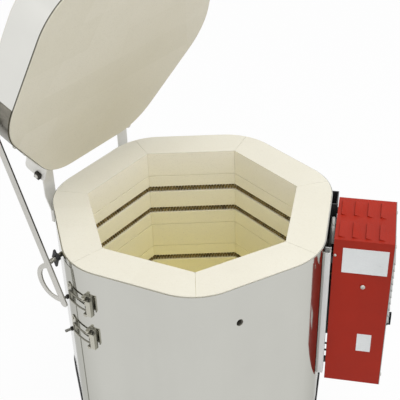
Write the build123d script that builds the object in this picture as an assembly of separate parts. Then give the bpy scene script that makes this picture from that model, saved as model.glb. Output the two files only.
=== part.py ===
from build123d import *
import math
import os

# Seven-sided top-loading pottery kiln with its lid propped open. Millimetres, +Z up.
# The origin is the centre of the chamber floor. One flat side faces +Y, one corner -Y.
# Angles are measured about Z from +X, anticlockwise seen from above.

os.makedirs("parts", exist_ok=True)

# Brick ring
sides = 7
step = 360 / sides
outer_apothem = 237.3
wall = 63.5
corner_round = 106.0
element_course = 115.5
lower_blank_course = 54.0
top_blank_course = 50.8
mortar_gap = 0.3
joint_height = 1.4
joint_depth = 1.6
floor_thickness = 63.5
floor_rebate = 10.0
floor_gap = 0.3

# Grooves and heating elements
groove_height = 13.0
groove_depth = 15.0
first_groove_drop = 31.5
groove_pitch = 49.5
coil_radius = 5.0
coil_bend = 14.0
coil_back_gap = 4.5
coil_rest_gap = 0.2
tail_radius = 2.0
tail_spacing = 18.0
bushing_radius = 4.5
bushing_fit = 0.1
bushing_proud = 3.0
terminal_size = 12.0
terminal_length = 16.0

# Peephole
peephole_radius = 6.0
peephole_drop = 74.7
peephole_along = -39.0
peephole_slope = 27.0

# Jacket
sheet = 0.8
jacket_fit = 0.2
lap_fit = 0.1
jacket_top_drop = 1.5
lip_height = 10.0
lap_gap_below_lip = 2.0
lap_rise = 4.0
seam_gap = 3.0
seam_angle = -150.0
lap_start = -161.0
lap_end = -144.0

# Floor band, pan and stand
band_edge = 3.0
pan_sheet = 1.5
pan_wall = 20.0
ring_width = 30.0
ring_thickness = 3.0
ring_inset = 4.0
stand_height = 190.0
leg_radius = 12.7
leg_wall = 1.6
leg_gap = 0.8
foot_radius = 17.0
foot_height = 14.0
foot_floor = 4.0

# Lid
lid_thickness = 63.5
lid_edge_round = 1.5
lid_seat_gap = 0.4
open_angle = 68.4
band_lap_start = -165.0
band_lap_end = -116.5
handle_span = 96.0
handle_reach = 34.0
handle_rod = 6.0

# Hinge
hinge_side = 141.4286
pin_out = 20.6
pin_up = 27.3
pin_radius = 4.0
running_fit = 0.05
arm_centre = 101.5
arm_width = 25.4
arm_thickness = 3.0
arm_low = 72.0
back_plate_top = 46.5
back_plate_thickness = 3.0
arm_bend_top = 20.0
arm_bend_low = 46.0
eye_wall = 2.0
ear_thickness = 3.0
ear_gap = 0.5
ear_low = 12.0
ear_high = 62.0
ear_reach = 7.5
nut_size = 12.0
nut_thickness = 6.0
strap_thickness = 2.0
strap_height = 36.0

# Prop
prop_gap = 4.0
prop_width = 14.0
prop_thickness = 3.0
prop_tail = 77.0
prop_back = 22.9
prop_above_lid = 33.1
prop_screw_radius = 4.0
prop_screw_head = 8.0
loop_length = 66.0
loop_depth = 42.0
loop_strip = 10.5
loop_end_gap = 9.0
guide_drop = 17.3
guide_back = 72.0
guide_radius = 4.0
guide_end_gap = 0.5
knob_hub = 7.0
knob_length = 7.0
knob_gap = 14.4
wing_thickness = 3.0
knob_wing = 16.8

# Draw latches
latch_count = 2
latch_drop = 72.0
latch_pitch = 72.0
latch_base_angle = -125.0
latch_keeper_angle = -150.5
latch_base_width = 16.0
latch_base_height = 40.0
latch_plate = 2.0
lever_pin_out = 6.2
lever_pin_along = -4.2
lever_top_gap = 2.0
lever_sheet = 1.5
lever_plate_along = 1.5
lever_pin = 1.5
bail_pin_along = 1.0
bail_pin_out = 5.6
bail_wire = 1.5
bail_half_height = 9.0
keeper_width = 16.5
keeper_height = 43.0
keeper_lip = 3.9
hook_gap = 0.5
adjuster_length = 15.0
adjuster_radius = 2.5
adjuster_nut = 4.0

# Control box
box_side = -12.8571
box_gap = 14.2
box_reach = 99.0
box_depth = 126.0
box_height = 320.0
box_top_drop = 1.0
box_sheet = 1.2
louvre_columns = 4
louvre_pitch = 22.2
louvre_first = 6.6
louvre_length = 44.0
louvre_row_offset = 32.0
louvre_rise = 3.2
louvre_run = 11.0
face_louvres = 10
face_louvre_first = 59.0
face_louvre_pitch = 14.5
face_louvre_length = 84.0
face_louvre_rise = 4.5
face_louvre_run = 9.0
switch_drop = 214.0
switch_radius = 13.0
switch_proud = 9.5
name_plate_width = 76.0
name_plate_height = 51.0
name_plate_drop = 17.0
sticker_width = 25.0
sticker_height = 40.0
sticker_drop = 203.0
plate_thickness = 1.0
round_screw_drop = 96.0
round_screw_radius = 4.4
side_screw_drop = 34.0
side_screw_radius = 2.6
side_screw_inset = 3.4
face_screw_along = 50.0
face_screw_inset = 14.0
name_plate_inset = 15.6
sticker_inset = 52.0
gland_radius = 6.0
gland_length = 26.0

# Stand-offs between jacket and box
standoff_sheet = 2.0
standoff_front_out = 10.5
standoff_front_drop = 32.0
standoff_rear_along = 87.0
standoff_rear_drop = 5.0
standoff_rear_rise = 1.7
standoff_width = 18.0
standoff_foot = 12.0
spacer_radius = 6.0
spacer_inset = 19.0
spacer_foot = 40.0

# Worked out from the sizes above
inner_apothem = outer_apothem - wall
half_corner = math.pi / sides
rim = 2 * element_course + lower_blank_course + top_blank_course
jacket_out = jacket_fit + sheet
over_jacket = jacket_out + lap_fit
lap_face = over_jacket + sheet
corner_centre = (outer_apothem - corner_round) / math.cos(half_corner)


def polar(radius, angle):
    return (radius * math.cos(math.radians(angle)), radius * math.sin(math.radians(angle)))


def outline(apothem, rounding=0.0):
    """Seven-sided face with a flat side at the back and a corner at the front."""
    radius = apothem / math.cos(half_corner)
    corners = [polar(radius, -90 + step * i) for i in range(sides)]
    face = make_face(Polyline(*corners, close=True))
    if rounding > 0:
        face = fillet(face.vertices(), rounding)
    return face


def prism(apothem, rounding, bottom, top):
    return Pos(0, 0, bottom) * extrude(outline(apothem, rounding), top - bottom)


def wrap(inner, thickness, bottom, top):
    """Sheet that follows the rounded brick outline, its inside this far outside the bricks."""
    outside = inner + thickness
    shell = prism(outer_apothem + outside, corner_round + outside, bottom, top)
    return shell - prism(outer_apothem + inner, corner_round + inner, bottom - 1, top + 1)


def block(low, high):
    size = [b - a for a, b in zip(low, high)]
    return Pos(*low) * Box(*size, align=(Align.MIN, Align.MIN, Align.MIN))


def rod(radius, start, end):
    """Cylinder between two points."""
    along = Vector(*end) - Vector(*start)
    plane = Plane(origin=start, z_dir=along)
    return extrude(plane * Circle(radius), along.length)


def on_side(angle, along=0.0, height=0.0, out=0.0):
    """Place on a flat side: X along it anticlockwise, Y up, Z outward from the bricks."""
    normal = Vector(*polar(1, angle), 0)
    tangent = Vector(*polar(1, angle + 90), 0)
    point = normal * (outer_apothem + out) + tangent * along + Vector(0, 0, height)
    return Plane(origin=point, x_dir=tangent, z_dir=normal).location


def on_corner(corner, normal_angle, height=0.0, out=0.0):
    """Place on a rounded corner where the surface faces normal_angle."""
    centre = Vector(*polar(corner_centre, corner), 0)
    normal = Vector(*polar(1, normal_angle), 0)
    tangent = Vector(*polar(1, normal_angle + 90), 0)
    point = centre + normal * (corner_round + out) + Vector(0, 0, height)
    return Plane(origin=point, x_dir=tangent, z_dir=normal).location


def corner_sector(corner, inner, thickness, start, end, bottom, top):
    """Piece of curved sheet round one corner, between two surface directions."""
    centre = polar(corner_centre, corner)
    low = corner_round + inner
    ring = Circle(low + thickness) - Circle(low)
    reach = 3 * corner_round
    middle = (start + end) / 2
    wedge = make_face(Polyline((0, 0), polar(reach, start), polar(reach, middle),
                               polar(reach, end), close=True))
    return Pos(*centre, bottom) * extrude(ring & wedge, top - bottom)


def screw_head(seat, direction, radius=3.6, height=2.4):
    plane = Plane(origin=seat, z_dir=direction)
    head = extrude(plane * Circle(radius), height)
    top = head.faces().sort_by(Axis(seat, direction))[-1]
    return fillet(top.edges(), height / 2)


def save(name, *pieces):
    shape = pieces[0] if len(pieces) == 1 else Compound(children=list(pieces))
    export_step(shape, f"parts/{name}.step")


# Brick courses from the floor up: element, blank, element, blank
course_heights = [element_course, lower_blank_course, element_course, top_blank_course]
element_levels = []


def brick_sector(angle):
    """The room for one brick: a wedge about a side's normal, short of its neighbours."""
    apex = mortar_gap / 2 / math.sin(half_corner)
    reach = 1.5 * outer_apothem
    start = Vector(*polar(apex, angle))
    left = start + Vector(*polar(reach, angle + step / 2))
    right = start + Vector(*polar(reach, angle - step / 2))
    face = make_face(Polyline(start, right, left, close=True))
    return Pos(0, 0, -floor_thickness) * extrude(face, 3 * rim)


def peephole_bore():
    place = on_side(-90 + step / 2, peephole_along, rim - peephole_drop)
    return place * Rot(-peephole_slope, 0, 0) * Cylinder(peephole_radius, 4 * wall)


def tail_places(level):
    half = tail_spacing / 2
    return [on_side(box_side, along, level) for along in (-half, half)]


bottom = 0.0
for number, height in enumerate(course_heights, start=1):
    top = bottom + height
    low = bottom - floor_rebate if number == 1 else bottom
    ring = prism(outer_apothem, corner_round, low, top)
    ring -= prism(inner_apothem, 0, low - 1, top + 1)
    if number < len(course_heights):
        ring -= prism(inner_apothem + joint_depth, 0, top - joint_height, top + 1)
    if height == element_course:
        for index in range(2):
            level = top - first_groove_drop - index * groove_pitch
            element_levels.append(level)
            half = groove_height / 2
            ring -= prism(inner_apothem + groove_depth, 0, level - half, level + half)
            for place in tail_places(level):
                ring -= place * Cylinder(bushing_radius + bushing_fit, 3 * wall)
    if number == 3:
        ring -= peephole_bore()
    bricks = [ring & brick_sector(90 + step * i) for i in range(sides)]
    save(f"brick_course_{number}", *bricks)
    bottom = top

# Floor slab, raised inside the walls so that they stand in a rebate
floor_slab = prism(outer_apothem, corner_round, -floor_thickness, -floor_rebate)
floor_slab += prism(inner_apothem - floor_gap, 0, -floor_rebate, 0)
save("floor_slab", floor_slab)
save("floor_band", wrap(jacket_fit, sheet, -floor_thickness + band_edge, -floor_rebate))

# Heating elements: one turn in each groove, both ends out through the control box side
coil_apothem = inner_apothem + groove_depth - coil_back_gap - coil_radius
coil_drop = groove_height / 2 - coil_radius - coil_rest_gap
coil_out = coil_apothem - outer_apothem
terminal_out = box_gap + box_sheet + 8.0
bushings = []
terminals = []
for number, level in enumerate(reversed(element_levels), start=1):
    corners = [polar(coil_apothem / math.cos(half_corner), box_side + step * (i + 0.5))
               for i in range(sides)]
    start, end = [place.position for place in
                  (on_side(box_side, side * tail_spacing / 2, level, coil_out)
                   for side in (1, -1))]
    rest = level - coil_drop
    points = [(start.X, start.Y, rest)] + [(x, y, rest) for x, y in corners]
    points.append((end.X, end.Y, rest))
    path = FilletPolyline(*points, radius=coil_bend)
    coil = sweep(Plane(origin=path @ 0, z_dir=path % 0) * Circle(coil_radius), path)
    for side in (1, -1):
        place = on_side(box_side, side * tail_spacing / 2, level)
        tail = place * rod(tail_radius, (0, 0, coil_out), (0, 0, terminal_out + 4))
        coil += tail
        inner_end = -wall + groove_depth + 0.5
        tube = rod(bushing_radius, (0, 0, inner_end), (0, 0, bushing_proud))
        tube -= rod(tail_radius + bushing_fit, (0, 0, inner_end - 1), (0, 0, bushing_proud + 1))
        bushings.append(place * tube)
        half = terminal_size / 2
        clamp = block((-half, -half, terminal_out), (half, half, terminal_out + terminal_length))
        clamp -= rod(tail_radius, (0, 0, terminal_out - 1), (0, 0, terminal_out + 4))
        terminals.append(place * clamp)
    save(f"element_{number}", coil)
save("element_bushings", *bushings)
save("terminals", *terminals)

# Jacket round the bricks, open at the seam, and what covers its edges
front_left = -90 - step
jacket_bottom = -floor_rebate
jacket_top = rim - jacket_top_drop
lap_top = jacket_top - lip_height - lap_gap_below_lip
jacket = wrap(jacket_fit, sheet, jacket_bottom, jacket_top)
jacket -= (on_corner(front_left, seam_angle, rim / 2)
           * Box(seam_gap, 2 * rim, 10))
jacket -= peephole_bore()
for level in element_levels:
    for place in tail_places(level):
        jacket -= place * Cylinder(bushing_radius + 2 * bushing_fit, 20)
save("jacket", jacket)
save("jacket_lip", wrap(over_jacket, sheet, jacket_top - lip_height, jacket_top))
save("jacket_lap", corner_sector(front_left, over_jacket, sheet, lap_start, lap_end,
                                 jacket_bottom + lap_rise, lap_top))

# Base pan, stand ring, legs and feet
pan_top = -floor_thickness
pan_out = jacket_fit + sheet + 0.3
pan = prism(outer_apothem + pan_out + pan_sheet, corner_round + pan_out + pan_sheet,
            pan_top - pan_sheet, pan_top + pan_wall)
pan -= prism(outer_apothem + pan_out, corner_round + pan_out, pan_top, pan_top + pan_wall + 1)
save("base_pan", pan)

ring_top = pan_top - pan_sheet
ring_apothem = outer_apothem - ring_inset
ring_inner = ring_apothem - ring_width
ring_low = ring_top - ring_thickness
stand_ring = prism(ring_apothem, corner_round, ring_low, ring_top)
stand_ring -= prism(ring_inner, corner_round - ring_width, ring_low - 1, ring_top + 1)
save("stand_ring", stand_ring)
skirt = prism(ring_apothem, corner_round, ring_top - ring_width, ring_low)
skirt -= prism(ring_apothem - ring_thickness, corner_round - ring_thickness,
               ring_top - ring_width - 1, ring_low + 1)
save("stand_skirt", skirt)

leg_inset = ring_thickness + leg_radius + leg_gap
ring_corner = (ring_apothem - corner_round) / math.cos(half_corner) + corner_round
ground = ring_top - stand_height
legs = []
feet = []
for angle, edge in ((90 - step, ring_apothem), (90 + step, ring_apothem),
                    (-90 + step, ring_corner), (-90 - step, ring_corner)):
    x, y = polar(edge - leg_inset, angle)
    leg_bottom = ground + foot_floor
    leg = rod(leg_radius, (x, y, leg_bottom), (x, y, ring_low))
    leg -= rod(leg_radius - leg_wall, (x, y, leg_bottom - 1), (x, y, ring_low + 1))
    legs.append(leg)
    foot = rod(foot_radius, (x, y, ground), (x, y, ground + foot_height))
    foot -= rod(leg_radius + 0.1, (x, y, leg_bottom), (x, y, ground + foot_height + 1))
    feet.append(foot)
save("stand_legs", *legs)
save("stand_feet", *feet)

# Hinge: a plate on the jacket, two arms on the plate, a rod through their eyes
hinge_frame = on_side(hinge_side, 0, rim)
eye_radius = pin_radius + running_fit + eye_wall
arm_inner = pin_out - eye_radius
plate_out = jacket_out + back_plate_thickness
arm_reach = arm_centre + arm_width / 2
back_plate = block((-arm_reach, -arm_low, jacket_out), (arm_reach, -back_plate_top, plate_out))
save("hinge_back_plate", hinge_frame * back_plate)


def across(start):
    """Plane across the hinge axis: its X is up, its Y outward, its normal along the axis."""
    return Plane(origin=(start, 0, 0), x_dir=(0, 1, 0), z_dir=(1, 0, 0))


for side, name in ((1, "left"), (-1, "right")):
    start = side * arm_centre - arm_width / 2
    arm_outer = arm_inner + arm_thickness
    profile = Polyline((-arm_low, plate_out), (-arm_low, plate_out + arm_thickness),
                       (-arm_bend_low, plate_out + arm_thickness), (-arm_bend_top, arm_outer),
                       (pin_up, arm_outer), (pin_up, arm_inner), (-arm_bend_top, arm_inner),
                       (-arm_bend_low, plate_out), close=True)
    arm = extrude(across(start) * make_face(profile), arm_width)
    arm += rod(eye_radius, (start, pin_up, pin_out), (start + arm_width, pin_up, pin_out))
    arm -= rod(pin_radius + running_fit, (start - 1, pin_up, pin_out),
               (start + arm_width + 1, pin_up, pin_out))
    save(f"hinge_arm_{name}", hinge_frame * arm)

screw_height = -(arm_low + back_plate_top) / 2
arm_screws = []
for along in (-arm_centre, -arm_centre / 3, arm_centre / 3, arm_centre):
    seat = plate_out + arm_thickness if abs(along) == arm_centre else plate_out
    arm_screws.append(hinge_frame * screw_head((along, screw_height, seat), (0, 0, 1)))
save("hinge_screws", *arm_screws)

ear_start = arm_reach + ear_gap
ear_end = ear_start + ear_thickness
rod_end = ear_end + nut_thickness + 1.5
save("hinge_rod", hinge_frame * rod(pin_radius, (-rod_end, pin_up, pin_out),
                                    (rod_end, pin_up, pin_out)))
nuts = []
for side in (1, -1):
    near = side * ear_end
    far = side * (ear_end + nut_thickness)
    half = nut_size / 2
    nut = block((min(near, far), pin_up - half, pin_out - half),
                (max(near, far), pin_up + half, pin_out + half))
    nut -= rod(pin_radius, (-2 * rod_end, pin_up, pin_out), (2 * rod_end, pin_up, pin_out))
    nuts.append(hinge_frame * nut)

# Lid, built closed and then turned open about the rod
pin_axis = Axis((hinge_frame * Pos(0, pin_up, pin_out)).position,
                Vector(*polar(1, hinge_side + 90), 0))


def opened(shape):
    return shape.rotate(pin_axis, open_angle)


lid_low = rim + lid_seat_gap
lid_top = lid_low + lid_thickness
lid_slab = prism(outer_apothem, corner_round, lid_low, lid_top)
lid_slab = fillet(lid_slab.edges().group_by(Axis.Z)[0] + lid_slab.edges().group_by(Axis.Z)[-1],
                  lid_edge_round)
save("lid_slab", opened(lid_slab))
band_low = lid_low + lid_edge_round + 0.5
band_top = lid_top - lid_edge_round - 0.5
save("lid_band", opened(wrap(jacket_fit, sheet, band_low, band_top)))
band_plate = corner_sector(front_left, over_jacket, sheet, band_lap_start, band_lap_end,
                           band_low, band_top)
save("lid_band_plate", opened(band_plate))

strap_low = lid_low + (lid_thickness - strap_height) / 2
strap_out = over_jacket + strap_thickness
strap_reach = outer_apothem * (1 - math.cos(math.radians(step)))
strap = wrap(over_jacket, strap_thickness, strap_low, strap_low + strap_height)
strap &= hinge_frame * block((-2 * outer_apothem, -rim, -strap_reach),
                             (2 * outer_apothem, rim, strap_out + 1))
save("lid_hinge_strap", opened(strap))

ear_profile = RectangleRounded(ear_high - ear_low, 2 * (pin_out + ear_reach), 9.0)
ears = []
for side in (1, -1):
    start = min(side * ear_start, side * ear_end)
    middle = lid_seat_gap + (ear_low + ear_high) / 2
    ear = extrude(across(start) * Pos(middle, 0) * ear_profile, ear_thickness)
    ear -= rod(pin_radius, (-2 * rod_end, pin_up, pin_out), (2 * rod_end, pin_up, pin_out))
    ear = hinge_frame * ear
    ear -= prism(outer_apothem + strap_out, corner_round + strap_out, 0, 2 * rim)
    ears.append(opened(ear))
save("lid_hinge_ears", *ears)
save("hinge_nuts", *[opened(nut) for nut in nuts])

screw_side = -90 - 1.5 * step
lid_screws = []
for along, out in ((57, lap_face), (14, jacket_out)):
    place = on_side(screw_side, along, lid_low + 6, 0)
    lid_screws.append(opened(place * screw_head((0, 0, out), (0, 0, 1))))
strap_screw_side = hinge_side
for along in (-50, 0, 50):
    place = on_side(strap_screw_side, along, strap_low + strap_height / 2, 0)
    lid_screws.append(opened(place * screw_head((0, 0, strap_out), (0, 0, 1))))
save("lid_screws", *lid_screws)

handle_corner = hinge_side - 180
handle_frame = on_corner(handle_corner, handle_corner, lid_low + lid_thickness / 2)
half_span = handle_span / 2
handle_path = FilletPolyline((-half_span, 0, -half_span / 2), (-half_span, 0, handle_reach),
                             (half_span, 0, handle_reach), (half_span, 0, -half_span / 2),
                             radius=2.5 * handle_rod)
handle_plane = Plane(origin=handle_path @ 0, z_dir=handle_path % 0)
handle = handle_frame * sweep(handle_plane * Circle(handle_rod), handle_path)
handle -= prism(outer_apothem + jacket_out, corner_round + jacket_out, 0, 2 * rim)
save("lid_handle", opened(handle))

# Prop: a bar on the lid's front left corner, with a D-shaped loop at its lower end.
# It slides past the outer end of a guide bolt in the jacket.
corner_turn = math.radians(step / 4)
prop_plane = corner_centre * math.cos(corner_turn) + corner_round + lap_face + prop_gap
corner_out = corner_centre * math.sin(corner_turn) - outer_apothem
prop_forward = pin_out - corner_out - prop_back
opening = math.radians(open_angle)
prop_up = prop_above_lid + lid_seat_gap - pin_up
prop_out = (pin_out - prop_forward * math.cos(opening) + prop_up * math.sin(opening))
prop_height = pin_up + prop_forward * math.sin(opening) + prop_up * math.cos(opening)
guide_out = corner_out + guide_back
guide_distance = math.hypot(prop_height + guide_drop, prop_out - guide_out)
prop_length = guide_distance + prop_tail
bar_down = Vector(0, -prop_height - guide_drop, guide_out - prop_out).normalized()
bar_plane = Plane(origin=(prop_plane, prop_height, prop_out), x_dir=bar_down, z_dir=(1, 0, 0))
half_width = prop_width / 2
bar = Pos(prop_length / 2, 0) * RectangleRounded(prop_length + prop_width, prop_width,
                                                 half_width - 0.1)
loop_low = prop_length + half_width - loop_end_gap
loop_high = loop_low - loop_length - loop_strip


def bulge(start, end, base, depth):
    """Half-round outline on one side of the bar."""
    control = base - (depth + base) / 0.75
    curve = Bezier((start, base), (start, control), (end, control), (end, base))
    return make_face(curve + Line((end, base), (start, base)))


bar += bulge(loop_high, loop_low, loop_strip - half_width, loop_depth)
bar -= bulge(loop_high + loop_strip, loop_low - loop_strip, -half_width,
             loop_depth - loop_strip)
bar -= Circle(prop_screw_radius + running_fit)
save("prop_bar", hinge_frame * extrude(bar_plane * bar, prop_thickness))

closed_height = lid_seat_gap + prop_above_lid
closed_out = pin_out - prop_forward
head_start = prop_plane + prop_thickness + running_fit
prop_screw = rod(prop_screw_radius, (0, closed_height, closed_out),
                 (head_start, closed_height, closed_out))
prop_screw += rod(prop_screw_head, (head_start, closed_height, closed_out),
                  (head_start + 3.5, closed_height, closed_out))
prop_screw += rod(prop_screw_head, (0, closed_height, closed_out),
                  (prop_plane - running_fit, closed_height, closed_out))
prop_screw = hinge_frame * prop_screw
prop_screw -= prism(outer_apothem + lap_face, corner_round + lap_face, 0, 2 * rim)
save("prop_screw", opened(prop_screw))

guide_height = -guide_drop
bolt_end = prop_plane - guide_end_gap
bolt = hinge_frame * rod(guide_radius, (0, guide_height, guide_out),
                         (bolt_end, guide_height, guide_out))
body = prism(outer_apothem + jacket_out, corner_round + jacket_out, -rim, 2 * rim)
body += corner_sector(front_left, 0, lap_face, lap_start, lap_end, jacket_bottom, lap_top)
save("guide_bolt", bolt - body)

knob_far = bolt_end - knob_gap
knob_near = knob_far - knob_length
knob = rod(knob_hub, (knob_near, guide_height, guide_out), (knob_far, guide_height, guide_out))
wing = Polyline((guide_height - knob_wing, guide_out - 1.5), (guide_height, guide_out - knob_hub),
                (guide_height + knob_wing, guide_out - 1.5),
                (guide_height + knob_wing, guide_out + 1.5), (guide_height, guide_out + knob_hub),
                (guide_height - knob_wing, guide_out + 1.5), close=True)
knob += extrude(across(knob_far - wing_thickness) * make_face(wing), wing_thickness)
knob -= rod(guide_radius + running_fit, (knob_near - 1, guide_height, guide_out),
            (knob_far + 1, guide_height, guide_out))
save("guide_knob", hinge_frame * knob)

# Draw latches that pull the jacket's ends together across the lap


def rivet(x, y, seat):
    dome = Pos(x, y, seat) * Cylinder(2.4, 1.2, align=(Align.CENTER, Align.CENTER, Align.MIN))
    return fillet(dome.edges().group_by(Axis.Z)[-1], 0.8)


adjusters = []
for number in range(1, latch_count + 1):
    level = rim - latch_drop - (number - 1) * latch_pitch
    base_frame = on_corner(front_left, latch_base_angle, level, jacket_out)
    half_w = latch_base_width / 2
    half_h = latch_base_height / 2
    base = block((-half_w, -half_h, -3), (half_w, half_h, latch_plate))
    lug_in = half_h - 4.0
    lug_radius = 3.6
    for side in (1, -1):
        low = side * lug_in if side > 0 else side * half_h
        high = side * half_h if side > 0 else side * lug_in
        lug = block((lever_pin_along - lug_radius, low, 0),
                    (lever_pin_along + lug_radius, high, lever_pin_out))
        lug += rod(lug_radius, (lever_pin_along, low, lever_pin_out),
                   (lever_pin_along, high, lever_pin_out))
        lug -= rod(lever_pin + running_fit, (lever_pin_along, low - 1, lever_pin_out),
                   (lever_pin_along, high + 1, lever_pin_out))
        base += lug
    base = base_frame * base
    base -= body
    base_rivets = [base_frame * rivet(half_w - 5, y, latch_plate) for y in (-11, 11)]
    save(f"latch_base_{number}", base, *base_rivets)

    cheek_out = lug_in - 0.4
    cheek_in = cheek_out - lever_sheet
    lever_low = lever_pin_out + lever_top_gap
    lever = block((lever_plate_along, -cheek_out, lever_low),
                  (half_w + 3, cheek_out, lever_low + lever_sheet))
    lever += block((half_w + 3 - lever_sheet, -cheek_out, lever_low - 4),
                   (half_w + 3, cheek_out, lever_low + lever_sheet))
    for side in (1, -1):
        low = min(side * cheek_in, side * cheek_out)
        high = max(side * cheek_in, side * cheek_out)
        cheek = block((lever_pin_along - 1.5, low, bail_pin_out),
                      (half_w - 6, high, lever_low + lever_sheet))
        cheek += rod(2.8, (bail_pin_along, low, bail_pin_out), (bail_pin_along, high, bail_pin_out))
        cheek -= rod(bail_wire + running_fit, (bail_pin_along, low - 1, bail_pin_out),
                     (bail_pin_along, high + 1, bail_pin_out))
        pivot_low = cheek_in if side > 0 else -half_h - 0.6
        pivot_high = half_h + 0.6 if side > 0 else -cheek_in
        lever += cheek
        lever += rod(lever_pin, (lever_pin_along, pivot_low, lever_pin_out),
                     (lever_pin_along, pivot_high, lever_pin_out))
    save(f"latch_lever_{number}", base_frame * lever)

    keeper_frame = on_corner(front_left, latch_keeper_angle, level, lap_face)
    oval = Rot(0, 0, 90) * SlotOverall(keeper_height, keeper_width)
    keeper = Pos(0, 0, -2) * extrude(oval, 2 + latch_plate)
    lip_at = keeper_width / 2 - 2.0
    lip_half = bail_half_height - bail_wire - 0.6
    keeper += block((lip_at, -lip_half, 0), (lip_at + 2.0, lip_half, keeper_lip))
    keeper = keeper_frame * keeper
    keeper -= prism(outer_apothem + lap_face, corner_round + lap_face, 0, 2 * rim)
    keeper_rivets = [keeper_frame * rivet(-1.5, y, latch_plate) for y in (-15, 15)]
    save(f"latch_keeper_{number}", keeper, *keeper_rivets)

    hook_along = lip_at - bail_wire - hook_gap
    hook_out = latch_plate + bail_wire + hook_gap
    middle_angle = (latch_base_angle + latch_keeper_angle) / 2
    middle_frame = on_corner(front_left, middle_angle, level, (jacket_out + lap_face) / 2)
    middle_out = (bail_pin_out + hook_out) / 2
    bail = Part()
    for side in (1, -1):
        height = side * bail_half_height
        near = (base_frame * Pos(bail_pin_along, height, bail_pin_out)).position
        middle = (middle_frame * Pos(0, height, middle_out)).position
        far = (keeper_frame * Pos(hook_along, height, hook_out)).position
        tip = (base_frame * Pos(bail_pin_along, side * cheek_out, bail_pin_out)).position
        arc = ThreePointArc(near, middle, far)
        bail += sweep(Plane(origin=arc @ 0, z_dir=arc % 0) * Circle(bail_wire), arc)
        bail += rod(bail_wire, tuple(near), tuple(tip))
        bail += Pos(*near) * Sphere(bail_wire)
        bail += Pos(*far) * Sphere(bail_wire)
    bail += rod(bail_wire, tuple(far), tuple(far + Vector(0, 0, 2 * bail_half_height)))
    save(f"latch_bail_{number}", bail)

    adjuster_along = -keeper_width / 2 - adjuster_nut - 0.4
    adjuster_place = keeper_frame * Pos(adjuster_along, -keeper_height / 2 + adjuster_nut, 0)
    adjuster = rod(adjuster_radius, (0, 0, -3), (0, 0, adjuster_length))
    adjuster += rod(adjuster_nut, (0, 0, 0.5), (0, 0, 4.5))
    adjuster = adjuster_place * adjuster
    adjuster -= prism(outer_apothem + lap_face, corner_round + lap_face, 0, 2 * rim)
    adjusters.append(adjuster)
save("latch_adjusters", *adjusters)

# Control box on its own side of the kiln, held off the jacket
box_top = -box_top_drop
box_bottom = box_top - box_height
box_out = box_gap + box_reach
half_depth = box_depth / 2
box_frame = on_side(box_side, 0, rim)
shell = block((-half_depth, box_bottom, box_gap), (half_depth, box_top, box_out))
shell -= block((-half_depth + box_sheet, box_bottom + box_sheet, box_gap - 1),
               (half_depth - box_sheet, box_top - box_sheet, box_out + 1))


def louvre(length, rise, run):
    """Pressed hood and its opening. X is its length, Y its rise, and it slopes down along Z."""
    half = length / 2
    side_plane = Plane(origin=(-half, 0, 0), x_dir=(0, 0, -1), z_dir=(1, 0, 0))
    outside = make_face(Polyline((0, 0), (0, rise), (-run, 0), close=True))
    hood = extrude(side_plane * outside, length)
    inner_run = run * (1 - box_sheet / rise)
    inside = make_face(Polyline((1, -1), (1, rise - box_sheet), (0, rise - box_sheet),
                                (-inner_run, 0), (-inner_run, -1), close=True))
    inner_plane = Plane(origin=(-half + box_sheet, 0, 0), x_dir=(0, 0, -1), z_dir=(1, 0, 0))
    hollow = extrude(inner_plane * inside, length - 2 * box_sheet)
    opening = block((-half + box_sheet, -2 * box_sheet, 0), (half - box_sheet, 0, inner_run))
    return hood - hollow, opening


for column in range(louvre_columns):
    for row in (-1, 1):
        place = Pos(row * louvre_row_offset - 2, box_top,
                    box_gap + louvre_first + column * louvre_pitch)
        hood, opening = louvre(louvre_length, louvre_rise, louvre_run)
        shell -= place * opening
        shell += place * hood

gland_place = Pos(0, box_bottom, box_gap + box_reach / 2) * Rot(90, 0, 0)
gland_hole = gland_radius + 4.0
shell -= gland_place * Cylinder(gland_hole, 10)
save("control_box", box_frame * shell)

gland = Cylinder(gland_hole - 0.1, gland_length)
gland += rod(gland_hole + 4, (0, 0, 0), (0, 0, 4))
gland += rod(gland_hole + 4, (0, 0, -box_sheet - 4), (0, 0, -box_sheet))
gland -= Cylinder(gland_radius, gland_length + 2)
save("cord_gland", box_frame * gland_place * gland)

tail_window = 30.0
window_top = max(element_levels) - rim + 20
window_bottom = box_bottom + 6
back = block((-half_depth + box_sheet + 0.1, box_bottom + box_sheet + 0.1, box_gap),
             (half_depth - box_sheet - 0.1, box_top - box_sheet - 0.1, box_gap + box_sheet))
back -= block((-tail_window, window_bottom, 0), (tail_window, window_top, box_gap + 10))
save("box_back_plate", box_frame * back)

face_out = box_out + box_sheet
switch_level = -switch_drop
face = block((-half_depth, box_bottom, box_out), (half_depth, box_top, face_out))
for index in range(face_louvres):
    level = -face_louvre_first - index * face_louvre_pitch
    place = Plane(origin=(0, level, face_out), x_dir=(-1, 0, 0), z_dir=(0, 1, 0)).location
    hood, opening = louvre(face_louvre_length, face_louvre_rise, face_louvre_run)
    face -= place * opening
    face += place * hood
shaft_radius = 3.0
face -= rod(shaft_radius + running_fit, (0, switch_level, 0), (0, switch_level, face_out + 1))
save("box_face_plate", box_frame * face)

knob_start = face_out + 0.5
dial = rod(switch_radius, (0, switch_level, knob_start),
           (0, switch_level, knob_start + switch_proud * 0.45))
grip = block((-3.5, switch_level - switch_radius + 0.5, knob_start),
             (3.5, switch_level + switch_radius - 0.5, knob_start + switch_proud))
shaft_end = face_out - 24.0
dial += grip
dial += rod(shaft_radius, (0, switch_level, shaft_end), (0, switch_level, knob_start + 1))
save("switch_knob", box_frame * dial)

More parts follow.
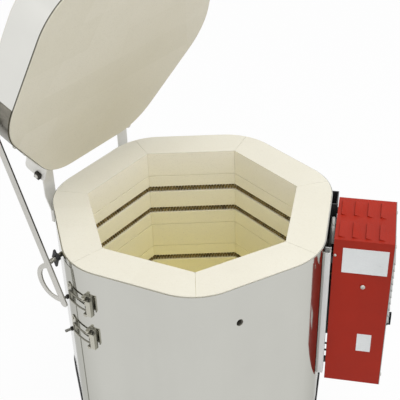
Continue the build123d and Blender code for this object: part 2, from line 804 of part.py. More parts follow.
switch_half = 22.0
switch = block((-switch_half, switch_level - switch_half, box_out - 36),
               (switch_half, switch_level + switch_half, box_out))
switch -= rod(shaft_radius + running_fit, (0, switch_level, shaft_end - 1),
              (0, switch_level, box_out + 1))
save("switch_body", box_frame * switch)

front = -half_depth
name_plate_out = box_gap + name_plate_inset
name_plate = block((front - plate_thickness, -name_plate_drop - name_plate_height,
                    name_plate_out),
                   (front, -name_plate_drop, name_plate_out + name_plate_width))
save("name_plate", box_frame * name_plate)
sticker_out = box_gap + sticker_inset
sticker = block((front - 0.4, -sticker_drop - sticker_height, sticker_out),
                (front, -sticker_drop, sticker_out + sticker_width))
save("rating_sticker", box_frame * sticker)

plate_middle = name_plate_out + name_plate_width / 2
box_screws = [screw_head((front, -round_screw_drop, plate_middle), (-1, 0, 0), round_screw_radius),
              screw_head((front, -side_screw_drop, box_gap + side_screw_inset), (-1, 0, 0),
                         side_screw_radius)]
for along in (-face_screw_along, face_screw_along):
    for level in (box_top - face_screw_inset, box_bottom + face_screw_inset):
        box_screws.append(screw_head((along, level, face_out), (0, 0, 1)))
save("box_screws", *[box_frame * screw for screw in box_screws])


def channel(start, end, crown, drop):
    """U-channel with its open side on the jacket, long side upright."""
    low = box_bottom + standoff_foot
    outer = block((start, low, -wall / 2), (end, -drop, crown))
    inner = block((start + standoff_sheet, low - 1, -wall),
                  (end - standoff_sheet, -drop + 1, crown - standoff_sheet))
    bands = body + prism(outer_apothem + lap_face, corner_round + lap_face,
                         jacket_top - lip_height, jacket_top)
    return box_frame * (outer - inner) - bands


front_start = -half_depth
front_end = front_start + standoff_width
rear_crown = standoff_front_out + standoff_rear_rise
rear_start = half_depth - standoff_width
save("standoff_front", channel(front_start, front_end, standoff_front_out, standoff_front_drop))
save("standoff_rear", channel(rear_start, standoff_rear_along, rear_crown, standoff_rear_drop))
spacers = []
for start, crown, drop in ((front_start, standoff_front_out, standoff_front_drop),
                           (rear_start, rear_crown, standoff_rear_drop)):
    along = start + standoff_width / 2
    for level in (-drop - spacer_inset, box_bottom + spacer_foot):
        spacers.append(box_frame * rod(spacer_radius, (along, level, crown),
                                       (along, level, box_gap)))
save("standoff_spacers", *spacers)

wires = []
for shift in (0, 8.5):
    route = FilletPolyline((30 - shift, -80, jacket_out + 3.4), (31 - shift, -42, 6.2),
                           (26 - shift, -20 - shift / 3, 8.2), (8 - shift, -20 - shift, 9.6),
                           (2 - shift, -52, box_gap - 3.4), radius=8)
    sleeve = sweep(Plane(origin=route @ 0, z_dir=route % 0) * Circle(3.1), route)
    wires.append(box_frame * sleeve)
save("sleeved_wires", *wires)

block_along = half_depth - 20
block_level = box_bottom + 45
block_start = box_gap + box_sheet
terminal_block = block((block_along - 12, block_level - 30, block_start),
                       (block_along + 12, block_level + 30, block_start + 10))
for step_up in (-20, 0, 20):
    terminal_block += block((block_along - 8, block_level + step_up - 7, block_start + 9),
                            (block_along + 8, block_level + step_up + 7, block_start + 18))
save("terminal_block", box_frame * terminal_block)
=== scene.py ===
import math

import bpy
import bmesh
from mathutils import Matrix, Vector


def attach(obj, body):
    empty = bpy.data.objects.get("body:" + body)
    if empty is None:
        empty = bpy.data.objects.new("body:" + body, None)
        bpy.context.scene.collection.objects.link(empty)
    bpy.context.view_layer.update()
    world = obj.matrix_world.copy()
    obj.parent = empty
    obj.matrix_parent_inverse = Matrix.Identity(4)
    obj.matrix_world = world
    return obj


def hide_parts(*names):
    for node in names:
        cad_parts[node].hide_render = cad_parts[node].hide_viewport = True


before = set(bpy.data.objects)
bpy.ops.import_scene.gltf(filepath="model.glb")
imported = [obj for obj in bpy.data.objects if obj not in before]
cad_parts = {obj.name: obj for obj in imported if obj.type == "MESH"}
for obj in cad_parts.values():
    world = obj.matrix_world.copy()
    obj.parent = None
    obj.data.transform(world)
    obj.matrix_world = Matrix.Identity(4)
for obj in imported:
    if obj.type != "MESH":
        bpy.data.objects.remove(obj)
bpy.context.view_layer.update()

MM = 0.001
GROUND = -0.255
FLOOR_HALF = 6.0
FLOOR_WHITE_SHARE = 0.95
AMBIENT_POWER = 0.68
EYE = (0.0016, -1.2893, 1.2172)
EYE_ANGLES = (0.501, 34.16, -1.75)
LENS = 80.05


def inputs_set(node, values):
    """Join or set a node's inputs, given by name or number."""
    for key, value in values.items():
        socket = node.inputs[key]
        if isinstance(value, bpy.types.NodeSocket):
            node.id_data.links.new(value, socket)
        else:
            socket.default_value = value
    return node


def node_in(tree, kind, values=None, **settings):
    node = tree.nodes.new(kind)
    for name, value in settings.items():
        setattr(node, name, value)
    return inputs_set(node, values or {})


scene = bpy.context.scene
scene.view_settings.view_transform = "Standard"


def seen_directly(tree):
    """1 for rays from the eye, and for those that gloss or glass sends on."""
    path = node_in(tree, "ShaderNodeLightPath")
    either = node_in(tree, "ShaderNodeMath", {0: path.outputs["Is Camera Ray"],
                                              1: path.outputs["Is Glossy Ray"]},
                     operation="MAXIMUM")
    return node_in(tree, "ShaderNodeMath", {0: either.outputs[0],
                                            1: path.outputs["Is Transmission Ray"]},
                   operation="MAXIMUM").outputs[0]


world = bpy.data.worlds.new("studio")
scene.world = world
world.use_nodes = True
sky = world.node_tree
sky.nodes.clear()
ambient = node_in(sky, "ShaderNodeBackground", {"Color": (0.97, 0.98, 1.0, 1),
                                                "Strength": AMBIENT_POWER})
white = node_in(sky, "ShaderNodeBackground", {"Color": (1, 1, 1, 1), "Strength": 1.0})
both = node_in(sky, "ShaderNodeMixShader", {0: seen_directly(sky), 1: ambient.outputs[0],
                                            2: white.outputs[0]})
node_in(sky, "ShaderNodeOutputWorld", {"Surface": both.outputs[0]})

camera_data = bpy.data.cameras.new("camera")
camera_data.sensor_width = 36.0
camera_data.lens = LENS
camera_data.clip_start = 0.05
camera_data.clip_end = 50.0
camera = bpy.data.objects.new("camera", camera_data)
scene.collection.objects.link(camera)
scene.camera = camera
yaw, pitch, roll = (math.radians(angle) for angle in EYE_ANGLES)
forward = Vector((math.sin(yaw) * math.cos(pitch), math.cos(yaw) * math.cos(pitch),
                  -math.sin(pitch)))
level_right = Vector((math.cos(yaw), -math.sin(yaw), 0))
level_up = level_right.cross(forward)
right = level_right * math.cos(roll) + level_up * math.sin(roll)
upward = level_up * math.cos(roll) - level_right * math.sin(roll)
camera.matrix_world = Matrix.Translation(EYE) @ Matrix(
    (right, upward, -forward)).transposed().to_4x4()

for name, place, size, power in (("overhead_lamp", (0.5, -0.55, 2.4), 1.5, 24.0),
                                 ("front_lamp", (-1.7, -2.1, 1.7), 1.6, 3.4),
                                 ("side_lamp", (2.2, -0.9, 1.4), 1.4, 2.8)):
    lamp_data = bpy.data.lights.new(name, "AREA")
    lamp_data.size = size
    lamp_data.energy = power
    lamp = bpy.data.objects.new(name, lamp_data)
    scene.collection.objects.link(lamp)
    lamp.location = place
    aim = Vector((0, 0, 0.2)) - Vector(place)
    lamp.rotation_euler = aim.to_track_quat("-Z", "Y").to_euler()

floor_mesh = bpy.data.meshes.new("floor")
floor_mesh.from_pydata([(x * FLOOR_HALF, y * FLOOR_HALF, GROUND)
                        for x, y in ((-1, -1), (1, -1), (1, 1), (-1, 1))], [], [(0, 1, 2, 3)])
floor = bpy.data.objects.new("floor", floor_mesh)
scene.collection.objects.link(floor)
floor_paint = bpy.data.materials.new("floor_paint")
floor_paint.use_nodes = True
ground = floor_paint.node_tree
ground.nodes.clear()
matt = node_in(ground, "ShaderNodeBsdfDiffuse", {"Color": (0.90, 0.90, 0.90, 1)})
glow = node_in(ground, "ShaderNodeEmission", {"Color": (1, 1, 1, 1), "Strength": 1.0})
share = node_in(ground, "ShaderNodeMath", {0: seen_directly(ground), 1: FLOOR_WHITE_SHARE},
                operation="MULTIPLY")
surface = node_in(ground, "ShaderNodeMixShader", {0: share.outputs[0], 1: matt.outputs[0],
                                                  2: glow.outputs[0]})
node_in(ground, "ShaderNodeOutputMaterial", {"Surface": surface.outputs[0]})
floor_mesh.materials.append(floor_paint)

# Brickwork: four courses of soft insulating firebrick, seven mitred bricks in each, on a
# floor slab, with the lid slab of the same stuff. The bricks are sawn, so their faces are
# open-pored and a little uneven in tint, and their edges are rubbed soft.
SIDES = 7
CORNER_STEP = 2 * math.pi / SIDES
OUTER = 0.2373
RIM = 0.3358
HINGE_SIDE = 141.428571


def polar(radius, degrees, height=0.0):
    turn = math.radians(degrees)
    return Vector((radius * math.cos(turn), radius * math.sin(turn), height))


LID_PIN = polar(OUTER + 0.0206, HINGE_SIDE, RIM + 0.0273)
LID_OPEN = 68.4
LID_TURN = Matrix.Rotation(math.radians(LID_OPEN), 4, polar(1, HINGE_SIDE + 90))
LID_LOW = 0.3362
TINT_HEIGHT = 0.0577
RIM_LINE = (0.3345, 0.3351)
HALF_WALL = 0.0318
PEEPHOLE_SIDE = -64.285714
PEEPHOLE_FALL = 0.5095
PEEPHOLE = (polar(OUTER - HALF_WALL, PEEPHOLE_SIDE, 0.2449)
            + polar(-0.039, PEEPHOLE_SIDE + 90))


def finish(name, **values):
    """New material; returns it with its node tree and shader, plain values set on that."""
    material = bpy.data.materials.new(name)
    material.use_nodes = True
    shader = material.node_tree.nodes["Principled BSDF"]
    for socket, value in values.items():
        shader.inputs[socket.replace("_", " ")].default_value = value
    return material, material.node_tree, shader


def own_coordinates(tree):
    return node_in(tree, "ShaderNodeTexCoord").outputs["Object"]


def noise(tree, place, scale, detail=3.0, roughness=0.55):
    return node_in(tree, "ShaderNodeTexNoise", {"Vector": place, "Scale": scale, "Detail": detail,
                                                "Roughness": roughness}).outputs[0]


def sum_of(tree, first, second, operation="ADD"):
    return node_in(tree, "ShaderNodeMath", {0: first, 1: second}, operation=operation).outputs[0]


def tones(tree, value, *stops):
    """Colours along a value; each stop is its place and its linear colour."""
    node = node_in(tree, "ShaderNodeValToRGB", {0: value})
    ramp = node.color_ramp
    while len(ramp.elements) < len(stops):
        ramp.elements.new(0.5)
    for element, (place, colour) in zip(ramp.elements, stops):
        element.position = place
        element.color = (*colour, 1)
    return node.outputs[0]


def span(tree, value, low, high, out_low, out_high):
    return node_in(tree, "ShaderNodeMapRange", {0: value, 1: low, 2: high, 3: out_low,
                                                4: out_high}).outputs[0]


def blend(tree, share, first, second):
    """Two colours mixed; share is how much of the second one shows."""
    first, second = (colour if isinstance(colour, bpy.types.NodeSocket) else (*colour, 1)
                     for colour in (first, second))
    return node_in(tree, "ShaderNodeMix", {0: share, 6: first, 7: second},
                   data_type="RGBA").outputs[2]


def shut_height(tree):
    """Height that a place on the open lid has once the lid is shut."""
    back = node_in(tree, "ShaderNodeMapping", {"Vector": own_coordinates(tree),
                                               "Location": tuple(LID_PIN),
                                               "Rotation": tuple(LID_TURN.to_euler())},
                   vector_type="TEXTURE").outputs[0]
    up = node_in(tree, "ShaderNodeSeparateXYZ", {0: back}).outputs[2]
    return sum_of(tree, up, LID_PIN.z)


def relief(tree, shader, height, distance, strength=1.0):
    bump = node_in(tree, "ShaderNodeBump", {"Height": height, "Distance": distance,
                                            "Strength": strength})
    inputs_set(shader, {"Normal": bump.outputs[0]})


def distance_along(tree, place, direction):
    """How far a place lies along a direction."""
    return node_in(tree, "ShaderNodeVectorMath", {0: place, 1: tuple(direction)},
                   operation="DOT_PRODUCT").outputs[1]


def size_of(tree, value):
    return node_in(tree, "ShaderNodeMath", {0: value}, operation="ABSOLUTE").outputs[0]


def bore_darkening(tree, place):
    """1 in the outer part of the peephole's sloping bore, which is made darker, and 0 elsewhere.
    """
    from_middle = node_in(tree, "ShaderNodeVectorMath", {0: place, 1: tuple(PEEPHOLE)},
                          operation="SUBTRACT").outputs[0]
    sideways = distance_along(tree, from_middle, polar(1, PEEPHOLE_SIDE + 90))
    along = distance_along(tree, place, polar(1, PEEPHOLE_SIDE))
    deep = span(tree, along, OUTER - 0.055, OUTER - 0.050, 0.0, 1.0)
    inside = span(tree, along, OUTER - 0.0002, OUTER - 0.0001, 1.0, 0.0)
    near = span(tree, size_of(tree, sideways), 0.0066, 0.0064, 0.0, 1.0)
    height = node_in(tree, "ShaderNodeSeparateXYZ", {0: place}).outputs[2]
    climb = sum_of(tree, sum_of(tree, along, OUTER - HALF_WALL, "SUBTRACT"), PEEPHOLE_FALL,
                   "MULTIPLY")
    off_axis = sum_of(tree, sum_of(tree, height, PEEPHOLE.z, "SUBTRACT"), climb, "SUBTRACT")
    level = span(tree, size_of(tree, off_axis), 0.0075, 0.0072, 0.0, 1.0)
    return sum_of(tree, sum_of(tree, deep, near, "MULTIPLY"),
                  sum_of(tree, inside, level, "MULTIPLY"), "MULTIPLY")


def brick_finish(name, light, dark, deep, fired_and_lit=None, gap_shadow=None):
    """Firebrick: each brick its own tint, cloudy mottle, fine pores; inside, warmer where fired
    and lighter as painted light.
    """
    material, tree, shader = finish(name, Roughness=0.96, Specular_IOR_Level=0.2)
    place = own_coordinates(tree)
    xyz = node_in(tree, "ShaderNodeSeparateXYZ", {0: place})
    angle = node_in(tree, "ShaderNodeMath", {0: xyz.outputs[1], 1: xyz.outputs[0]},
                    operation="ARCTAN2").outputs[0]
    turn = sum_of(tree, angle, CORNER_STEP, "DIVIDE")
    brick = node_in(tree, "ShaderNodeMath", {0: sum_of(tree, turn, 0.25)}, operation="FLOOR")
    course = node_in(tree, "ShaderNodeMath",
                     {0: sum_of(tree, xyz.outputs[2], TINT_HEIGHT, "DIVIDE")}, operation="FLOOR")
    cell = node_in(tree, "ShaderNodeCombineXYZ", {0: brick.outputs[0], 1: course.outputs[0]})
    tint = node_in(tree, "ShaderNodeTexWhiteNoise", {"Vector": cell.outputs[0]}).outputs["Value"]
    cloud = noise(tree, place, 14.0, 4.0, 0.6)
    grain = noise(tree, place, 260.0, 4.0, 0.7)
    mix = sum_of(tree, sum_of(tree, sum_of(tree, tint, 0.30, "MULTIPLY"),
                              sum_of(tree, cloud, 0.55, "MULTIPLY")),
                 sum_of(tree, grain, 0.35, "MULTIPLY"))
    body = tones(tree, mix, (0.34, dark), (0.82, light))
    pores = node_in(tree, "ShaderNodeTexVoronoi", {"Vector": place, "Scale": 420.0},
                    feature="F1").outputs["Distance"]
    pit = span(tree, pores, 0.08, 0.30, 0.0, 1.0)
    open_pores = sum_of(tree, pit, span(tree, grain, 0.40, 0.62, 0.55, 1.0), "MAXIMUM")
    colour = blend(tree, open_pores, deep, body)
    if fired_and_lit:
        # Below the rim line the inner faces turn warmer where fired, yellower towards the bottom,
        # and lighter than the outer faces; that extra lightness is painted light for the light
        # that fills the chamber.
        below = span(tree, xyz.outputs[2], *RIM_LINE, 1.0, 0.0)
        depth = tones(tree, span(tree, xyz.outputs[2], 0.336, 0.0, 0.0, 1.0),
                      (0.0, fired_and_lit[0]), (0.8, fired_and_lit[1]))
        inner_colour = blend(tree, open_pores, deep, depth)
        inner_colour = blend(tree, span(tree, mix, 0.3, 0.9, 0.14, 0.0), inner_colour, dark)
        colour = blend(tree, below, colour, inner_colour)
        # The outer part of the peephole's bore is made darker.
        colour = blend(tree, bore_darkening(tree, place), colour, (0.330, 0.315, 0.270))
    if gap_shadow:
        # Painted shadow: from about 1 mm to 30 mm above the lid's underside, fading out by 40 mm,
        # the brick is darkened by 70 % towards the given dark, for the gap under the band.
        above = shut_height(tree)
        shadow_share = sum_of(tree, span(tree, above, LID_LOW + 0.0006, LID_LOW + 0.0013, 0.0, 0.7),
                      span(tree, above, LID_LOW + 0.0300, LID_LOW + 0.0400, 1.0, 0.0), "MULTIPLY")
        colour = blend(tree, shadow_share, colour, gap_shadow)
    inputs_set(shader, {"Base Color": colour})
    height = sum_of(tree, sum_of(tree, open_pores, 0.6, "MULTIPLY"),
                    sum_of(tree, noise(tree, place, 95.0, 5.0, 0.65), 0.8, "MULTIPLY"))
    relief(tree, shader, height, 0.0008, 0.4)
    return material


# The inner tones, at the top and the bottom, are lighter than the brick's own: painted light.
firebrick = brick_finish("firebrick", (0.810, 0.780, 0.670), (0.770, 0.735, 0.620),
                         (0.700, 0.650, 0.520),
                         fired_and_lit=((0.965, 0.925, 0.810), (0.970, 0.905, 0.560)))
# The lid's brick takes a painted shadow along its edge under the band, in the dark given last.
lid_brick = brick_finish("lid_brick", (0.780, 0.740, 0.620), (0.730, 0.690, 0.560),
                         (0.600, 0.555, 0.440), gap_shadow=(0.055, 0.050, 0.030))


def merged_copy(node):
    """A CAD node's mesh with its loose triangles joined and flat faces made whole."""
    shape = bmesh.new()
    shape.from_mesh(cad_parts[node].data)
    bmesh.ops.remove_doubles(shape, verts=shape.verts, dist=2e-6)
    bmesh.ops.dissolve_limit(shape, angle_limit=math.radians(0.6), verts=shape.verts,
                             edges=shape.edges)
    return shape


def smooth(mesh, angle=32):
    mesh.shade_smooth()
    mesh.set_sharp_from_angle(angle=math.radians(angle))


def piece(name, mesh, material, body, slot, *replaced):
    """A finished piece of the model, on its body and in place of its solids."""
    obj = bpy.data.objects.new(name, mesh)
    scene.collection.objects.link(obj)
    mesh.materials.clear()
    mesh.materials.append(material)
    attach(obj, body)
    if replaced:
        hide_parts(*replaced)
    return obj


def evaluated_mesh(obj):
    """The object's mesh with its modifiers worked in; the object itself is removed."""
    graph = bpy.context.evaluated_depsgraph_get()
    mesh = bpy.data.meshes.new_from_object(obj.evaluated_get(graph))
    obj.modifiers.clear()
    bpy.data.objects.remove(obj)
    return mesh


def eased_mesh(node, width, segments=2, angle=32):
    """A CAD node's mesh with its sharp edges eased by a small round."""
    mesh = bpy.data.meshes.new("eased_" + node)
    shape = merged_copy(node)
    shape.to_mesh(mesh)
    shape.free()
    helper = bpy.data.objects.new("eased_" + node, mesh)
    scene.collection.objects.link(helper)
    bevel = helper.modifiers.new("edges", "BEVEL")
    bevel.width = width
    bevel.segments = segments
    bevel.limit_method = "ANGLE"
    bevel.angle_limit = math.radians(angle)
    bevel.use_clamp_overlap = True
    bevel.harden_normals = True
    smooth(mesh, angle)
    return evaluated_mesh(helper)


def eased(node, material, body, slot, width, segments=2, angle=32):
    return piece(node + "_eased", eased_mesh(node, width, segments, angle), material, body, slot,
                 node)


def dress(material, *nodes):
    """Give CAD nodes that keep their shape their finish."""
    for node in nodes:
        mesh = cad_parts[node].data
        mesh.materials.clear()
        mesh.materials.append(material)


for number in range(1, 5):
    eased(f"brick_course_{number}", firebrick, "kiln", "firebrick", 0.35 * MM)
eased("floor_slab", firebrick, "kiln", "firebrick", 0.9 * MM)
eased("lid_slab", lid_brick, "lid", "firebrick", 0.6 * MM)

# Heating elements: resistance wire wound into long coils, one in each groove. The wire's
# ends run straight out through porcelain tubes in the brick to clamps inside the box.
BOX_SIDE = -12.857143
COIL_APOTHEM = 0.1793
COIL_DROP = 0.0013
COIL_BEND = 0.014
COIL_RADIUS = 0.00375
COIL_WIRE = 0.00125
COIL_PITCH = 0.0058
TAIL_ALONG = 0.009
TAIL_RADIUS = 0.0019
TAIL_END = 0.0274
ELEMENT_LEVELS = (0.2040, 0.2535, 0.0345, 0.0840)


def on_side(degrees, along=0.0, height=0.0, out=0.0):
    """Place on a flat side: X along it anticlockwise, Y up, Z out from the bricks."""
    normal = polar(1, degrees)
    tangent = polar(1, degrees + 90)
    origin = normal * (OUTER + out) + tangent * along + Vector((0, 0, height))
    return Matrix.Translation(origin) @ Matrix((tangent, Vector((0, 0, 1)),
                                                normal)).transposed().to_4x4()


def new_tree(name, **sockets):
    """Geometry Nodes tree with a mesh in, a mesh out and named sizes."""
    tree = bpy.data.node_groups.new(name, "GeometryNodeTree")
    tree.interface.new_socket("Geometry", in_out="INPUT", socket_type="NodeSocketGeometry")
    kinds = {"R": "NodeSocketFloat", "I": "NodeSocketInt", "O": "NodeSocketObject",
             "M": "NodeSocketMaterial"}
    for socket, kind in sockets.items():
        tree.interface.new_socket(socket, in_out="INPUT", socket_type=kinds[kind])
    tree.interface.new_socket("Geometry", in_out="OUTPUT", socket_type="NodeSocketGeometry")
    return tree, node_in(tree, "NodeGroupInput").outputs


def end_tree(tree, geometry, material):
    whole = node_in(tree, "GeometryNodeRealizeInstances", {0: geometry})
    shaded = node_in(tree, "GeometryNodeSetShadeSmooth", {"Geometry": whole.outputs[0]})
    coated = node_in(tree, "GeometryNodeSetMaterial", {"Geometry": shaded.outputs[0],
                                                       "Material": material})
    node_in(tree, "NodeGroupOutput", {0: coated.outputs[0]})


def grown(mesh, tree, **sizes):
    """Run a tree on a mesh with the given sizes, and return the plain mesh that it makes."""
    helper = bpy.data.objects.new("grown", mesh)
    scene.collection.objects.link(helper)
    modifier = helper.modifiers.new("tree", "NODES")
    modifier.node_group = tree
    for item in tree.interface.items_tree:
        if item.in_out == "INPUT" and item.name in sizes:
            modifier[item.identifier] = sizes[item.name]
    return evaluated_mesh(helper)


def line_mesh(points):
    mesh = bpy.data.meshes.new("line")
    mesh.from_pydata([tuple(p) for p in points], [(i, i + 1) for i in range(len(points) - 1)], [])
    return mesh


def rounded(points, back):
    """The line's points, with each inner corner eased by a short curve."""
    path = [points[0]]
    for before, corner, after in zip(points, points[1:], points[2:]):
        start = corner + (before - corner).normalized() * back
        end = corner + (after - corner).normalized() * back
        for t in (0.0, 0.25, 0.5, 0.75, 1.0):
            path.append(start.lerp(corner, t).lerp(corner.lerp(end, t), t))
    return path + [points[-1]]


winding, sizes = new_tree("winding", Radius="R", Wire="R", Pitch="R", Phase="R", Hand="R",
                          Steps="I", Sides="I", Material="M")
curve = node_in(winding, "GeometryNodeMeshToCurve", {0: sizes["Geometry"]})
step_length = node_in(winding, "ShaderNodeMath", {0: sizes["Pitch"], 1: sizes["Steps"]},
                      operation="DIVIDE")
points = node_in(winding, "GeometryNodeResampleCurve", {"Curve": curve.outputs[0],
                                                        "Length": step_length.outputs[0]},
                 mode="LENGTH")
turned = node_in(winding, "ShaderNodeMath",
                 {0: node_in(winding, "GeometryNodeInputIndex").outputs[0], 1: sizes["Steps"]},
                 operation="DIVIDE")
turned = sum_of(winding, sum_of(winding, turned.outputs[0], sizes["Hand"], "MULTIPLY"),
                sizes["Phase"])
angle = node_in(winding, "ShaderNodeMath", {0: turned, 1: 2 * math.pi},
                operation="MULTIPLY").outputs[0]
tangent = node_in(winding, "GeometryNodeInputTangent").outputs[0]
normal = node_in(winding, "GeometryNodeInputNormal").outputs[0]
third = node_in(winding, "ShaderNodeVectorMath", {0: tangent, 1: normal},
                operation="CROSS_PRODUCT").outputs[0]
parts = []
for axis, wave in ((normal, "COSINE"), (third, "SINE")):
    share = node_in(winding, "ShaderNodeMath", {0: angle}, operation=wave).outputs[0]
    reach = node_in(winding, "ShaderNodeMath", {0: share, 1: sizes["Radius"]},
                    operation="MULTIPLY").outputs[0]
    parts.append(node_in(winding, "ShaderNodeVectorMath", {0: axis, "Scale": reach},
                         operation="SCALE").outputs[0])
offset = node_in(winding, "ShaderNodeVectorMath", {0: parts[0], 1: parts[1]}, operation="ADD")
wound = node_in(winding, "GeometryNodeSetPosition", {"Geometry": points.outputs[0],
                                                     "Offset": offset.outputs[0]})
ring = node_in(winding, "GeometryNodeCurvePrimitiveCircle", {"Resolution": sizes["Sides"],
                                                             "Radius": sizes["Wire"]})
wire = node_in(winding, "GeometryNodeCurveToMesh", {"Curve": wound.outputs[0],
                                                    "Profile Curve": ring.outputs[0],
                                                    "Fill Caps": True})
end_tree(winding, wire.outputs[0], sizes["Material"])

heating_wire, tree, shader = finish("heating_wire", Roughness=0.72)
place = own_coordinates(tree)
scale_mix = sum_of(tree, noise(tree, place, 60.0), sum_of(tree, noise(tree, place, 700.0), 0.5,
                                                          "MULTIPLY"))
inputs_set(shader, {"Base Color": tones(tree, scale_mix, (0.50, (0.050, 0.034, 0.010)),
                                        (0.85, (0.370, 0.270, 0.100)))})
relief(tree, shader, noise(tree, place, 900.0, 4.0), 0.0003)


def joined(*meshes):
    """Several meshes as one."""
    shape = bmesh.new()
    for mesh in meshes:
        shape.from_mesh(mesh)
    whole = bpy.data.meshes.new("joined")
    shape.to_mesh(whole)
    shape.free()
    whole.shade_smooth()
    return whole


def lathe(profile, place=Matrix(), steps=32):
    """Closed solid of revolution about Z; profile is (radius, height), both ends on the axis."""
    shape = bmesh.new()
    rings = []
    for radius, height in profile:
        if radius < 1e-9:
            rings.append([shape.verts.new((0, 0, height))])
            continue
        rings.append([shape.verts.new((radius * math.cos(2 * math.pi * i / steps),
                                       radius * math.sin(2 * math.pi * i / steps), height))
                      for i in range(steps)])
    for low, high in zip(rings, rings[1:]):
        for i in range(steps):
            j = (i + 1) % steps
            corners = [low[i % len(low)], low[j % len(low)], high[j % len(high)],
                       high[i % len(high)]]
            shape.faces.new(list(dict.fromkeys(corners)))
    bmesh.ops.recalc_face_normals(shape, faces=shape.faces)
    shape.transform(place)
    mesh = bpy.data.meshes.new("turned")
    shape.to_mesh(mesh)
    shape.free()
    smooth(mesh)
    return mesh


def rod_profile(radius, low, high, ease=0.0002):
    return [(0, low), (radius - ease, low), (radius, low + ease), (radius, high - ease),
            (radius - ease, high), (0, high)]


for number, level in enumerate(ELEMENT_LEVELS, start=1):
    rest = level - COIL_DROP
    corners = [polar(COIL_APOTHEM / math.cos(math.pi / SIDES),
                     BOX_SIDE + math.degrees(CORNER_STEP) * (i + 0.5), rest)
               for i in range(SIDES)]
    start, end = (on_side(BOX_SIDE, along, rest, COIL_APOTHEM - OUTER).translation
                  for along in (TAIL_ALONG, -TAIL_ALONG))
    path = rounded([start, *corners, end], COIL_BEND * math.tan(CORNER_STEP / 2))
    coil = grown(line_mesh(path), winding, Radius=COIL_RADIUS, Wire=COIL_WIRE, Pitch=COIL_PITCH,
                 Hand=1.0, Steps=14, Sides=6, Material=heating_wire)
    tails = [lathe(rod_profile(TAIL_RADIUS, COIL_APOTHEM - OUTER - 0.002, TAIL_END),
                   on_side(BOX_SIDE, along, level), 12) for along in (-TAIL_ALONG, TAIL_ALONG)]
    piece(f"coil_{number}", joined(coil, *tails), heating_wire, "kiln", "heating_wire",
          f"element_{number}")

porcelain, tree, shader = finish("porcelain", Roughness=0.28, Coat_Weight=0.3)
place = own_coordinates(tree)
inputs_set(shader, {"Base Color": tones(tree, noise(tree, place, 180.0),
                                        (0.35, (0.70, 0.67, 0.60)), (0.7, (0.80, 0.78, 0.72)))})
relief(tree, shader, noise(tree, place, 400.0), 0.0002, 0.4)
dress(porcelain, "element_bushings", "terminal_block")

# Jacket: thin stainless sheet wrapped round the bricks, bright from the mill, with a strip
# rolled over its top edge and a lap strip over the seam. The lid and the floor slab have a
# band of the same sheet. Long soft streaks follow the way the sheet was rolled.


def sheet_finish(name, colour, roughness, spread, streak=(1.0, 1.0, 26.0), metallic=1.0,
                 uneven=0.12, dull=0.86, painted_shade_reach=None, gap_shadow=False, grazed=(1.0, 1.0, 1.0)):
    """Metal sheet: streaks, smears, painted shade in its crevices; grazed tints what it mirrors
    flat.
    """
    material, tree, shader = finish(name, Metallic=metallic, Specular_Tint=(*grazed, 1))
    place = own_coordinates(tree)
    stretched = node_in(tree, "ShaderNodeMapping", {"Vector": place, "Scale": streak}).outputs[0]
    lines = noise(tree, stretched, 24.0, 6.0, 0.7)
    smears = noise(tree, place, 9.0, 3.0, 0.6)
    scuffs = noise(tree, place, 130.0, 5.0, 0.75)
    mix = sum_of(tree, sum_of(tree, lines, 0.5, "MULTIPLY"), sum_of(tree, smears, 0.5, "MULTIPLY"))
    body = tones(tree, mix, (0.3, tuple(dull * c for c in colour)), (0.7, colour))
    if painted_shade_reach:
        # Painted shade: the colour is darkened where faces close in on each other.
        body = node_in(tree, "ShaderNodeAmbientOcclusion", {"Color": body, "Distance": painted_shade_reach},
                       samples=6).outputs[0]
    if gap_shadow:
        # Painted shadow: the band is darkened below about 2.5 mm above the lid's underside, along
        # its lowest edge, for the gap between band and brick.
        shadow_share = span(tree, shut_height(tree), LID_LOW + 0.0025, LID_LOW + 0.0029, 0.8, 0.0)
        body = blend(tree, shadow_share, body, (0.06, 0.055, 0.035))
    inputs_set(shader, {"Base Color": body,
                        "Roughness": span(tree, sum_of(tree, mix, sum_of(
                            tree, scuffs, 0.35, "MULTIPLY")), 0.4, 0.95, roughness,
                            roughness + spread)})
    height = sum_of(tree, sum_of(tree, lines, 0.25, "MULTIPLY"), smears)
    relief(tree, shader, height, 0.0003, uneven)
    return material


stainless = sheet_finish("stainless", (0.580, 0.577, 0.535), 0.06, 0.06, (0.7, 0.7, 0.05),
                         uneven=0.01, dull=0.94, grazed=(0.66, 0.66, 0.64))
dress(stainless, "jacket", "jacket_lip", "jacket_lap", "floor_band")
# The lid's band and its plate carry a painted shadow line at their hem.
lid_steel = sheet_finish("lid_steel", (0.760, 0.755, 0.715), 0.14, 0.10, (0.7, 0.7, 0.7),
                         uneven=0.02, dull=0.94, gap_shadow=True)
dress(lid_steel, "lid_band")
band_steel = sheet_finish("band_steel", (0.330, 0.310, 0.260), 0.26, 0.20, (4.0, 4.0, 4.0),
                          dull=0.40, gap_shadow=True)
dress(band_steel, "lid_band_plate")

# Pan, ring, legs and feet: a folded steel pan under the floor slab, held up by a ring of
# angle iron on four tube legs, all stove painted black, with moulded feet.


